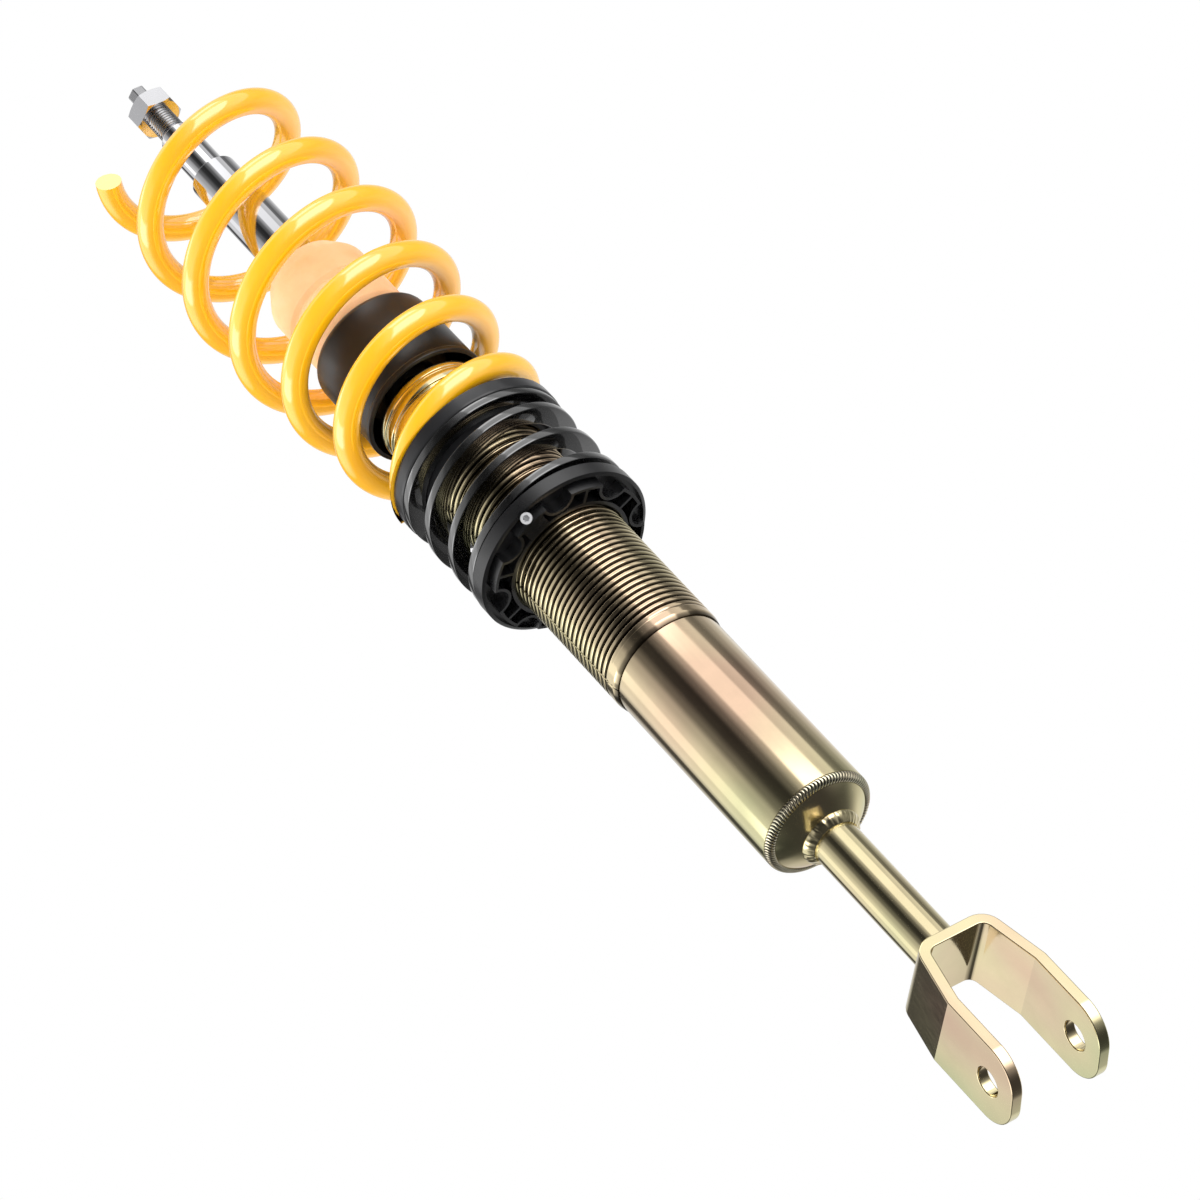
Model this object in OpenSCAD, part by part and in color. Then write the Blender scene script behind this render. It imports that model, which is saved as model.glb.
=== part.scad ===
// Coilover strut: a lower clevis fork, a damper with a threaded sleeve and an
// adjustable spring seat, a flat-wire helper spring and a barrel main spring.
// Millimetres. Origin: centre of the fork's bolt hole. +Z: up the strut. +X: along the bolt.

/* [Fork] */
// Diameter of the bolt holes in the two ears
fork_bolt_d = 12.5; // [10:0.5:14]
// Clear gap between the ears
fork_gap = 36; // [32:1:42]
// Thickness of the bent plate
plate_t = 5; // [4:0.5:6]
// Width of the ears across the bolt axis
ear_w = 38; // [34:1:44]
// Radius of the ears' rounded ends
ear_r = 15; // [13:0.5:17]
// Height of the web's outer face above the bolt axis
web_z = 59.3; // [56:0.1:66]
// Height where the ears start to lean in towards the web
bend_z = 29; // [26:1:34]
// Lean of the upper ears, in degrees
flare = 11.3; // [6:0.1:14]
// Tilt of the web across the bolt axis, in degrees
web_tilt = 7; // [0:0.5:9]

/* [Stem and body] */
// Diameter of the stem between the fork and the damper
stem_d = 20; // [18:0.5:24]
// Outer diameter of the lower damper tube
body_d = 50; // [48:0.5:52]
// Bore of the damper tube
bore_d = 40; // [36:1:42]
// Height of the lower end of the damper tube
body_z = 142; // [136:0.1:146]
// Height of the lower end of the threaded sleeve
sleeve_z = 241.7; // [230:0.1:250]
// Height of the upper end of the threaded sleeve
sleeve_top_z = 395; // [385:1:396]
// Height of the damper's top face
gland_z = 417.4; // [415:0.1:418]
// Crest diameter of the adjuster thread
thread_d = 52; // [50:0.5:54]
// Pitch of the adjuster thread
thread_pitch = 3; // [2:0.5:4]
// Depth of the adjuster thread
thread_h = 1.3; // [0.8:0.1:1.5]

/* [Piston rod] */
// Diameter of the chromed rod
rod_d = 22; // [20:1:25]
// Diameter of the neck that carries the top mount
neck_d = 16; // [14:0.5:18]
// Diameter of the threaded end
stud_d = 12; // [10:1:14]
// Height of the shoulder where the rod steps down to the neck
shoulder_z = 587; // [570:0.1:590]
// Width of the top nut across its flats
nut_af = 19; // [17:1:22]
// Width of the hexagonal tip across its flats
tip_af = 8; // [6:0.5:9]

/* [Bump stop and boot] */
// Diameter of the foam bump stop
bump_d = 47.5; // [40:0.5:50]
// Height of the top of the bump stop
bump_top_z = 514; // [505:1:525]
// Outer diameter of the dust boot
boot_d = 57.8; // [56:0.1:60]
// Height of the boot's open rim
boot_rim_z = 418.5; // [418:0.1:425]

/* [Springs] */
// Wire diameter of the main spring
wire_d = 11.5; // [10:0.1:13]
// Radius of the main spring's wire centre at its seat
coil_end_r = 35.5; // [34:0.1:38]
// How far the barrel swells beyond that radius
coil_swell = 11.3; // [6:0.1:13]
// Mean rise of the main spring in half a turn
half_pitch = 19.2; // [18:0.1:22]
// Outer diameter of the helper spring
helper_d = 79.2; // [76:0.1:80]
// Radial width of the helper spring's flat wire
helper_w = 8.8; // [7:0.1:9]
// Axial thickness of the helper spring's flat wire
helper_t = 4; // [3:0.1:4.5]

/* [Adjuster] */
// Diameter of the collar's flange
collar_d = 80; // [78:0.5:84]
// Height of the collar's upper face
collar_top_z = 324.5; // [300:0.5:340]
// Thickness of the collar's flange
flange_h = 7.7; // [6:0.1:9]
// Number of spanner scallops around the collar
scallops = 8; // [6:1:10]
// Diameter of the adapter ring under the main spring
adapter_d = 80; // [78:0.5:82]
// Thickness of the adapter ring
adapter_t = 7; // [5:0.1:8]

/* [Hidden] */
$fn = 64;

gold = "#c9b36a";
steel = "#a8abb0";
chrome = "#d9dde2";
black = "#232325";
rubber = "#1b1b1c";
foam = "#ead9bd";
yellow = "#f2b90f";

// Clearances: a fixed fit, a running fit and the play between free pieces.
fit = 0.05;
running = 0.08;
play = 0.3;

// Fork
ear_x = fork_gap / 2 + plate_t;
corner_r = 9;
web_w = 120;
nose_y = ear_w / 2 - ear_r;

// Damper, from the bottom up
body_r = body_d / 2;
bore_r = bore_d / 2;
stem_r = stem_d / 2;
rod_r = rod_d / 2;
cone_slope = 0.827;
weld_w = 4;
plug_r = 12.4;
plug_bottom_z = body_z - cone_slope * (body_r - plug_r);
plug_top_z = body_z + 9.5;
stem_top_z = body_z + 2;
spigot_r = body_r - 2;
sleeve_r = thread_d / 2;
land_h = 6;
tube_top_z = gland_z - 12.4;
guide_z = 368;
guide_h = 28;
bush_r = rod_r + 1.5;
seal_h = 8.4;
wiper_z = gland_z - 7.2;
gas_z = 186;
gas_h = 18;

// Piston and the pieces clamped on the rod's lower end
tenon_z = 318;
tenon_shoulder_z = 358;
washer_h = 3;
shim_h = 2.5;
piston_h = 18;
piston_top_z = tenon_shoulder_z - washer_h - shim_h;
piston_z = piston_top_z - piston_h;
band_h = 11;
piston_nut_h = 11;
stop_h = 9.7;

// Rod top
shoulder_bevel = 0.9;
neck_top_z = 618;
thread_z = 622;
nut_z = 631.8;
nut_h = 9.6;
tip_z = 651.5;
tip_h = tip_z - nut_z - nut_h;

// Bump stop and boot
bump_r = bump_d / 2;
bump_groove_z = 486.2;
bump_waist_z = 466;
bump_bottom_z = 432;
boot_r = boot_d / 2;
boot_wall = 2;
boot_top_z = 463;
boot_neck_r = 20;
boot_corner = 4.5;

// Springs
spring_az = -29.6;
wire_r = wire_d / 2;
adapter_z = collar_top_z + 51.9;
seat_z = adapter_z + adapter_t;
first_z = seat_z - 4.4;
sag = 7.5;
half_turns = 12.14;
widest = 6.8;
rings_per_half = 12;
wire_sides = 12;
helper_turns = 4.16;
helper_first = -0.72;
helper_rise = 17.3;
helper_az = 60.4;
helper_r = helper_d / 2;

// Collar
collar_r = collar_d / 2;
flange_z = collar_top_z - flange_h;
tooth_r = 36.4;
tooth_z = flange_z - 3.9;
recess_r = 38.4;
recess_h = 2;
scallop_r = 6.3;
scallop_pos = 36.8;
wall = 1.3;
hub_r = 28.6;
pocket_r = tooth_r - wall;
pocket_h = 6;
screw_az = 57.2;
screw_tilt = 30;
screw_r = 38;
screw_z = tooth_z + 2.3;
screw_d = 5;
screw_l = 9;

// Points of an arc in a plane, from angle a0 to a1 in n steps.
function arc(cx, cy, r, a0, a1, n) =
    [for (i = [0:n]) let (a = a0 + (a1 - a0) * i / n) [cx + r * cos(a), cy + r * sin(a)]];

// One side of the fork's profile at an offset from its outer face, from the ear's end to the web.
function fork_side(inset, r) =
    let (
        x = ear_x - inset,
        z = web_z - inset,
        corner_x = x - (z - bend_z) * tan(flare) + inset * (1 / cos(flare) - 1),
        t = r * tan((90 - flare) / 2),
        cx = corner_x - t,
        cz = z - r
    )
    concat([[x, -ear_r - 1], [x, bend_z]], arc(cx, cz, r, flare, 90, 6));

function mirrored(points) = [for (i = [len(points) - 1:-1:0]) [-points[i][0], points[i][1]]];

// A point on the end plug's cone, at a radius.
function on_cone(r) = [r, body_z - cone_slope * (body_r - r)];

// Height and radius of the main spring's wire centre, n half turns up from the seat.
function coil_z(n) = first_z + half_pitch * n - sag * pow(sin(15 * (n - 0.8)), 2);
function coil_r(n) =
    let (share = (n - widest) / (n < widest ? 6.5 : 7))
    coil_end_r + coil_swell * max(0, 1.03 - sqrt(share * share + 0.002));

// Height of the helper spring's wire centre, u turns up from the collar.
function helper_z(u) =
    max(collar_top_z, min(adapter_z - helper_t, collar_top_z + helper_rise * (u + 0.03)))
    + helper_t / 2;

// A closed skin over a row of sections that all have the same number of points.
module skin(rows) {
    n = len(rows[0]);
    last = len(rows) - 1;
    sides = [
        for (i = [0:last - 1])
            for (j = [0:n - 1])
                let (k = (j + 1) % n)
                    each [
                        [i * n + j, i * n + k, (i + 1) * n + k],
                        [i * n + j, (i + 1) * n + k, (i + 1) * n + j]
                    ]
    ];
    start_cap = [for (j = [n - 1:-1:0]) j];
    end_cap = [for (j = [0:n - 1]) last * n + j];
    polyhedron(points = [for (row = rows) each row], faces = concat(sides, [start_cap, end_cap]));
}

// A turned ring between two radii.
module ring(r_out, r_in, z, h) {
    translate([0, 0, z])
        rotate_extrude()
            translate([r_in, 0])
                square([r_out - r_in, h]);
}

module hexagon(af, z, h) {
    translate([0, 0, z])
        cylinder(r = af / 2 / cos(30), h = h, $fn = 6);
}

// A hexagon nut blank with both faces chamfered.
module hex_nut(af, bore, z, h) {
    corner = af / 2 / cos(30);
    bevel = 0.9;
    difference() {
        intersection() {
            hexagon(af, z, h);
            translate([0, 0, z])
                rotate_extrude()
                    polygon([[0, 0], [corner - 1.4, 0], [corner + 0.2, bevel],
                        [corner + 0.2, h - bevel], [corner - 1.4, h], [0, h]]);
        }
        translate([0, 0, z - 1])
            cylinder(d = bore, h = h + 2);
    }
}

// Everything below the tilted upper face of the fork's web.
module below_web() {
    rotate([-web_tilt, 0, 0])
        translate([-web_w / 2, -web_w / 2, web_z - web_w])
            cube(web_w);
}

// The ears' outline across the bolt axis: straight sides and rounded ends.
module ear_outline() {
    width = 2 * ear_x + 20;
    translate([-width / 2, -ear_w / 2, 0])
        cube([width, ear_w, web_z + 20]);
    translate([-width / 2, -nose_y, -ear_r])
        cube([width, 2 * nose_y, ear_r]);
    for (side = [-1, 1])
        translate([0, side * nose_y, 0])
            rotate([0, 90, 0])
                cylinder(r = ear_r, h = width, center = true);
}

module fork_blank(side) {
    rotate([90 - web_tilt, 0, 0])
        linear_extrude(web_w, center = true)
            polygon(concat(side, mirrored(side)));
}

module fork() {
    color(gold)
        difference() {
            intersection() {
                difference() {
                    fork_blank(fork_side(0, corner_r));
                    fork_blank(fork_side(plate_t, corner_r - plate_t));
                }
                ear_outline();
            }
            rotate([0, 90, 0])
                cylinder(d = fork_bolt_d, h = 2 * ear_x + 2, center = true);
        }
}

module fork_weld() {
    bead = 2.4;
    color(steel)
        difference() {
            rotate([-web_tilt, 0, 0])
                translate([0, -web_z * tan(web_tilt), web_z])
                    cylinder(r1 = stem_r + bead + 0.6, r2 = stem_r + 0.6, h = bead);
            translate([0, 0, web_z - 20])
                cylinder(r = stem_r, h = 40);
        }
}

module stem() {
    color(gold)
        difference() {
            cylinder(r = stem_r, h = stem_top_z);
            below_web();
        }
}

module stem_weld() {
    toe = on_cone(stem_r + 3.6);
    color(steel)
        rotate_extrude()
            polygon([[stem_r, plug_bottom_z - 1.9], [stem_r + 1.4, plug_bottom_z - 1.7],
                [stem_r + 2.6, plug_bottom_z - 0.9], toe, on_cone(plug_r), [stem_r, plug_bottom_z]]);
}

module end_plug() {
    seat = on_cone(body_r - weld_w);
    color(gold)
        difference() {
            rotate_extrude()
                polygon([[0, plug_bottom_z], [plug_r, plug_bottom_z], seat, [bore_r - fit, body_z],
                    [bore_r - fit, plug_top_z], [0, plug_top_z]]);
            translate([0, 0, plug_bottom_z - 1])
                cylinder(r = stem_r, h = stem_top_z - plug_bottom_z + 1);
        }
}

// The bead that closes the corner between the tube's end and the plug's cone.
module body_weld() {
    seat = on_cone(body_r - weld_w);
    color(gold)
        rotate_extrude()
            polygon([[bore_r - fit, body_z], seat, [seat[0] + 0.5, seat[1] - 0.15],
                [seat[0] + 2, seat[1] + 0.75], [seat[0] + 3.4, seat[1] + 2.1],
                [body_r + 0.2, body_z - 0.5], [body_r, body_z]]);
}

module body_tube() {
    lower_h = sleeve_z - body_z;
    color(gold)
        translate([0, 0, body_z])
            rotate_extrude()
                polygon([[bore_r, 0], [body_r, 0], [body_r, lower_h - 0.4],
                    [body_r - 0.3, lower_h], [spigot_r, lower_h],
                    [spigot_r, tube_top_z - body_z], [bore_r, tube_top_z - body_z]]);
}

// One thread groove per pitch, up to the given height.
function thread_profile(z0, z1) = [
    for (z = [z0:thread_pitch:z1 - thread_pitch])
        each [
            [sleeve_r, z],
            [sleeve_r, z + 0.3 * thread_pitch],
            [sleeve_r - thread_h, z + 0.55 * thread_pitch],
            [sleeve_r - thread_h, z + 0.7 * thread_pitch]
        ]
];

module threaded_sleeve() {
    length = sleeve_top_z - sleeve_z;
    color(gold)
        translate([0, 0, sleeve_z])
            rotate_extrude()
                polygon(concat([[spigot_r + fit, 0], [body_r + 0.1, 0], [sleeve_r, 2.6]],
                    thread_profile(land_h, length),
                    [[sleeve_r - thread_h, length], [spigot_r + fit, length]]));
}

module gland_cap() {
    top = gland_z - sleeve_top_z;
    step = tube_top_z - sleeve_top_z;
    pocket = wiper_z - sleeve_top_z;
    color(gold)
        translate([0, 0, sleeve_top_z])
            rotate_extrude()
                polygon([[spigot_r + fit, 0.1], [body_r, 0.1], [body_r, 10.6], [body_r - 0.9, 11.2],
                    [body_r - 0.9, 12.4], [body_r, 13], [body_r, 16], [body_r - 0.7, 16.6],
                    [body_r - 0.7, 17.6], [body_r, 18.2], [body_r, top - 1.6],
                    [body_r - 1.6, top], [15, top], [15, pocket], [rod_r + 0.6, pocket],
                    [rod_r + 0.6, step], [spigot_r + fit, step]]);
}

module rod_wiper() {
    h = gland_z - wiper_z;
    color(black)
        translate([0, 0, wiper_z])
            rotate_extrude()
                polygon([[rod_r + 2.4, 0], [15 - fit, 0], [15 - fit, h - 0.8], [13.6, h - 0.4],
                    [rod_r + running, h - 1.2], [rod_r + running, h - 2.4], [rod_r + 1.6, h - 3.4]]);
}

module oil_seal() {
    color(black)
        translate([0, 0, guide_z + guide_h])
            rotate_extrude()
                polygon([[rod_r + 1.8, 0], [bore_r - fit, 0], [bore_r - fit, seal_h],
                    [rod_r + 1.8, seal_h], [rod_r + running, seal_h - 2], [rod_r + running, seal_h - 3],
                    [rod_r + 1.4, seal_h / 2], [rod_r + running, 3], [rod_r + running, 2]]);
}

module rod_guide() {
    groove_z = guide_h / 2 - 1.2;
    color(steel)
        translate([0, 0, guide_z])
            rotate_extrude()
                polygon([[bush_r, 0], [bore_r - 2, 0], [bore_r - fit, 1.6],
                    [bore_r - fit, groove_z], [bore_r - 2.1, groove_z],
                    [bore_r - 2.1, groove_z + 2.4], [bore_r - fit, groove_z + 2.4],
                    [bore_r - fit, guide_h], [bush_r, guide_h]]);
}

module guide_bush() {
    color("#8c6a3f")
        ring(bush_r, rod_r + running, guide_z + 1.5, guide_h - 3);
}

// A ring of round section in a groove on the damper's bore.
module o_ring(z) {
    section = 1;
    color(black)
        translate([0, 0, z])
            rotate_extrude()
                translate([bore_r - section - fit, 0])
                    circle(r = section, $fn = 24);
}

module guide_o_ring() {
    o_ring(guide_z + guide_h / 2);
}

module gas_piston() {
    groove_z = gas_h / 2 - 1.2;
    color(steel)
        translate([0, 0, gas_z])
            rotate_extrude()
                polygon([[0, 5], [bore_r - 4, 5], [bore_r - 4, 0], [bore_r - 1, 0],
                    [bore_r - running, 1], [bore_r - running, groove_z], [bore_r - 2.1, groove_z],
                    [bore_r - 2.1, groove_z + 2.4], [bore_r - running, groove_z + 2.4],
                    [bore_r - running, gas_h - 1], [bore_r - 1, gas_h], [0, gas_h]]);
}

module gas_piston_ring() {
    o_ring(gas_z + gas_h / 2);
}

module piston() {
    port_r = 2.4;
    color(steel)
        difference() {
            translate([0, 0, piston_z])
                rotate_extrude()
                    polygon([[stud_d / 2 + fit, 0], [bore_r - 1.6, 0], [bore_r - 0.6, 1],
                        [bore_r - 0.6, 3], [bore_r - 1.6, 3.2], [bore_r - 1.6, 3.2 + band_h + 0.6],
                        [bore_r - 0.6, 4 + band_h], [bore_r - 0.6, piston_h - 1],
                        [bore_r - 1.6, piston_h], [stud_d / 2 + fit, piston_h]]);
            for (i = [0:5])
                rotate([0, 0, i * 60])
                    translate([stud_d / 2 + 6, 0, piston_z - 1])
                        cylinder(r = port_r, h = piston_h + 2);
        }
}

module piston_band() {
    color(black)
        ring(bore_r - running, bore_r - 1.55, piston_z + 3.5, band_h);
}

// A pack of thin valve discs, each smaller than the one before it.
module shims(z, up) {
    discs = 5;
    t = shim_h / discs;
    color(steel)
        for (i = [0:discs - 1]) {
            level = up ? i : discs - 1 - i;
            ring(stud_d / 2 + 9 - 0.8 * level, stud_d / 2 + fit, z + i * t, t);
        }
}

module upper_shims() {
    shims(piston_top_z, true);
}

module lower_shims() {
    shims(piston_z - shim_h, false);
}

module piston_nut() {
    color(steel)
        hex_nut(nut_af, stud_d + 2 * fit, piston_z - shim_h - piston_nut_h, piston_nut_h);
}

module rebound_washer() {
    color(steel)
        ring(rod_r + 5, stud_d / 2 + fit, tenon_shoulder_z - washer_h, washer_h);
}

module rebound_stop() {
    color(black)
        translate([0, 0, tenon_shoulder_z])
            rotate_extrude()
                polygon([[rod_r + running, 0], [rod_r + 4.5, 0], [rod_r + 5.5, 1],
                    [rod_r + 5.5, stop_h - 2], [rod_r + 3.5, stop_h], [rod_r + running, stop_h]]);
}

module piston_rod() {
    stud_r = stud_d / 2;
    neck_r = neck_d / 2;
    color(chrome) {
        rotate_extrude()
            polygon([[0, tenon_z], [stud_r - 1, tenon_z], [stud_r, tenon_z + 1],
                [stud_r, tenon_shoulder_z], [rod_r, tenon_shoulder_z], [rod_r, shoulder_z],
                [rod_r - shoulder_bevel, shoulder_z + shoulder_bevel],
                [neck_r, shoulder_z + shoulder_bevel], [neck_r, neck_top_z],
                [stud_r, thread_z], [stud_r, nut_z + nut_h], [0, nut_z + nut_h]]);
        intersection() {
            hexagon(tip_af, nut_z + nut_h, tip_h);
            translate([0, 0, nut_z + nut_h])
                rotate_extrude()
                    polygon([[0, 0], [tip_af, 0], [tip_af, tip_h - 3],
                        [tip_af / 2 - 0.1, tip_h], [0, tip_h]]);
        }
    }
}

module top_nut() {
    color(chrome)
        hex_nut(nut_af, stud_d, nut_z, nut_h);
}

module bump_stop() {
    crown = 9;
    top = bump_top_z - bump_bottom_z;
    waist = bump_waist_z - bump_bottom_z;
    groove = bump_groove_z - bump_bottom_z;
    neck = boot_top_z - boot_wall - bump_bottom_z;
    color(foam)
        translate([0, 0, bump_bottom_z])
            rotate_extrude()
                polygon(concat([[rod_r + play, 2], [rod_r + play + 2, 0]],
                    arc(boot_neck_r - 4, 4, 4, -90, 0, 5), [[boot_neck_r, neck + boot_wall]],
                    arc(bump_r - 3, waist + 1, 3, -60, 0, 4),
                    arc(bump_r, groove, 1.8, -90, -270, 6),
                    arc(bump_r - crown, top - crown, crown, 0, 90, 8),
                    [[rod_r + play + 1, top], [rod_r + play, top - 1]]));
}

module dust_boot() {
    length = boot_top_z - boot_rim_z;
    bend_r = boot_r - 0.8 - boot_corner;
    bend_h = length - boot_corner;
    color(rubber)
        translate([0, 0, boot_rim_z])
            rotate_extrude()
                polygon(concat([[boot_r - boot_wall, 0], [boot_r, 0]],
                    arc(bend_r, bend_h, boot_corner, 0, 90, 6),
                    [[boot_neck_r + fit, length], [boot_neck_r + fit, length - boot_wall]],
                    arc(bend_r, bend_h, boot_corner - boot_wall, 90, 0, 4)));
}

module helper_spring() {
    steps = 36;
    color(black)
        skin([for (i = [0:helper_turns * steps])
            let (
                u = helper_first + i / steps,
                az = helper_az + 360 * u,
                z = helper_z(u),
                end = min(i, helper_turns * steps - i) / steps,
                half_t = helper_t / 2 * min(1, 0.45 + 1.6 * end) - 0.05,
                lift = (helper_t / 2 - 0.05 - half_t) * (u < 1 ? -1 : 1)
            )
            [for (corner = [[0, -1], [1, -1], [1, 1], [0, 1]])
                let (r = helper_r - helper_w * (1 - corner[0]))
                [r * cos(az), r * sin(az), z + lift + corner[1] * half_t]]]);
}

module adapter_ring() {
    outer = adapter_d / 2;
    bore = sleeve_r + 0.6;
    guide_r = coil_end_r - wire_r - play;
    helper_guide_r = helper_r - helper_w - play;
    color(black)
        translate([0, 0, adapter_z])
            rotate_extrude()
                polygon([[bore, -8], [helper_guide_r - 1, -8], [helper_guide_r, -7],
                    [helper_guide_r, 0], [outer - 0.6, 0], [outer, 0.6], [outer, adapter_t - 0.6],
                    [outer - 0.6, adapter_t], [guide_r, adapter_t], [guide_r, adapter_t + 4],
                    [guide_r - 1, adapter_t + 5], [bore, adapter_t + 5]]);
}

module main_spring() {
    color(yellow)
        skin([for (i = [0:half_turns * rings_per_half])
            let (
                n = i / rings_per_half,
                az = spring_az + 180 * n,
                r = coil_r(n),
                z = coil_z(n),
                rise = (seat_z + 0.05 - z) / wire_r,
                low = max(180 / wire_sides - 90, asin(max(-1, rise)))
            )
            [for (j = [0:wire_sides - 1])
                let (
                    b = low + (180 - 2 * low) * j / (wire_sides - 1),
                    radius = r + wire_r * cos(b)
                )
                [radius * cos(az), radius * sin(az), z + wire_r * sin(b)]]]);
}

// The collar's spanner teeth: a short drum with a scallop between every two teeth.
module collar_teeth() {
    difference() {
        translate([0, 0, tooth_z])
            cylinder(r = tooth_r, h = flange_z - tooth_z + recess_h);
        for (i = [0:scallops - 1])
            rotate([0, 0, screw_az + (i + 0.5) * 360 / scallops])
                translate([scallop_pos, 0, tooth_z - 1])
                    cylinder(r = scallop_r, h = flange_z - tooth_z + recess_h + 1);
    }
}

// One moulded pocket between the hub and a tooth's outer wall, on one side of its middle rib.
module pocket(side, rib) {
    sector = 180 / scallops;
    difference() {
        intersection() {
            translate([0, 0, tooth_z - 1])
                cylinder(r = pocket_r, h = pocket_h + 1);
            translate([0, 0, tooth_z - 1])
                linear_extrude(pocket_h + 1)
                    polygon([[0, 0], [collar_r, 0],
                        [collar_r, side * collar_r * tan(sector)]]);
        }
        translate([0, 0, tooth_z - 2])
            cylinder(r = hub_r, h = pocket_h + 3);
        translate([0, -rib, tooth_z - 2])
            cube([collar_r, 2 * rib, pocket_h + 3]);
        rotate([0, 0, side * sector])
            translate([scallop_pos, 0, tooth_z - 2])
                cylinder(r = scallop_r + wall, h = pocket_h + 3);
    }
}

// The set screw's axis: out of the collar and slightly downwards.
module on_screw_axis() {
    rotate([0, 0, screw_az])
        translate([screw_r, 0, screw_z])
            rotate([0, 90 + screw_tilt, 0])
                children();
}

module adjuster_collar() {
    color(black)
        difference() {
            union() {
                translate([0, 0, flange_z])
                    rotate_extrude()
                        polygon([[0, 0], [collar_r - 1.2, 0], [collar_r, 0.6],
                            [collar_r, flange_h - 0.8], [collar_r - 0.8, flange_h], [0, flange_h]]);
                collar_teeth();
            }
            difference() {
                ring(recess_r, hub_r, flange_z - 1, recess_h + 1);
                collar_teeth();
                cylinder(r = hub_r, h = collar_top_z);
            }
            for (i = [0:scallops - 1], side = [-1, 1])
                rotate([0, 0, screw_az + i * 360 / scallops])
                    pocket(side, i == 0 ? 5.2 : wall / 2);
            translate([0, 0, tooth_z - 1])
                cylinder(r = sleeve_r + running, h = collar_top_z - tooth_z + 2);
            translate([0, 0, tooth_z - 0.01])
                cylinder(r1 = sleeve_r + 1, r2 = sleeve_r, h = 1);
            on_screw_axis() {
                translate([0, 0, -screw_l - 6])
                    cylinder(d = screw_d, h = screw_l + 14);
                translate([0, 0, -0.6])
                    cylinder(d = screw_d + 2, h = 12);
            }
        }
}

module set_screw() {
    color(steel)
        on_screw_axis()
            difference() {
                translate([0, 0, -screw_l])
                    cylinder(d = screw_d - 2 * fit, h = screw_l);
                translate([0, 0, -2.5])
                    cylinder(d = 2.5 / cos(30), h = 3, $fn = 6);
            }
}

fork();
fork_weld();
stem();
stem_weld();
end_plug();
body_weld();
body_tube();
threaded_sleeve();
gland_cap();
rod_wiper();
oil_seal();
rod_guide();
guide_bush();
guide_o_ring();
gas_piston();
gas_piston_ring();
piston_band();
piston();
upper_shims();
lower_shims();
piston_nut();
rebound_washer();
rebound_stop();
piston_rod();
top_nut();
bump_stop();
dust_boot();
helper_spring();
adapter_ring();
main_spring();
adjuster_collar();
set_screw();
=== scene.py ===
import functools
import math

import bmesh
import bpy
from mathutils import Matrix, Vector, noise
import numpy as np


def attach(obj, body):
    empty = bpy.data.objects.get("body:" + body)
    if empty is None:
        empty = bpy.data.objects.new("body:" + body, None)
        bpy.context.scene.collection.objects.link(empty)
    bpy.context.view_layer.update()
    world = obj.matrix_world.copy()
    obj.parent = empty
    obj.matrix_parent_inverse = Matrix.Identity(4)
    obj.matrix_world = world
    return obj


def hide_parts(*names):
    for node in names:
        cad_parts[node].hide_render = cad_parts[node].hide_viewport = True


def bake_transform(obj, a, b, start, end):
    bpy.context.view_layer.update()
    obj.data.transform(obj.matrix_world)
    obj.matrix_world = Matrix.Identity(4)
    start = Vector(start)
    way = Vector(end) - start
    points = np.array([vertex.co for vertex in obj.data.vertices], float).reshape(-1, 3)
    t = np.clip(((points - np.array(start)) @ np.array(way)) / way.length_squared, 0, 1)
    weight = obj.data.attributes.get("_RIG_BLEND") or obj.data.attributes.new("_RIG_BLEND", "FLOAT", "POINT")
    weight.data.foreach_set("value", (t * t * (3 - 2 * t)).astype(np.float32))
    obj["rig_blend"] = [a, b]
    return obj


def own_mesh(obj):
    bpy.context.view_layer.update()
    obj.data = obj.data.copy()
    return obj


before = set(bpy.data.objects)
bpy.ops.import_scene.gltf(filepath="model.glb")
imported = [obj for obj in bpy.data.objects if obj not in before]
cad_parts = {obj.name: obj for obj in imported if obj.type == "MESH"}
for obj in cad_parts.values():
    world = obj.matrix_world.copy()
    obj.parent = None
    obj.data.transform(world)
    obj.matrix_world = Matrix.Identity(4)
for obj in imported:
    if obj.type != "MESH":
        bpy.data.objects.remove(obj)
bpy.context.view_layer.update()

# Lengths are in metres in the row frame, so MM turns the millimetres of the design into them.
MM = 0.001
UP = Vector((0, 0, 1))

# The photograph's camera: its bearing round the strut, its place, the point it looks at, its roll and lens.
VIEW_BEARING = math.radians(60.43)
CAMERA_AT = Vector((0.98983, 1.74480, -1.09387))
CAMERA_AIM = Vector((0, -0.0059, 0.2914))
CAMERA_ROLL = math.radians(43.008)
CAMERA_LENS = 181.55

# Damper and springs, as the solids have them.
STEM_R = 10 * MM
THREAD_R = 26 * MM
THREAD_PITCH = 3 * MM
THREAD_DEPTH = 1.35 * MM
STUD_R = 6 * MM
STUD_PITCH = 1.5 * MM
STUD_TOP_Z = 0.6414
WIRE_R = 5.75 * MM


# ---------------------------------------------------------------- meshes


def add_object(name, mesh):
    piece = bpy.data.objects.new(name, mesh)
    bpy.context.scene.collection.objects.link(piece)
    return piece


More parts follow.
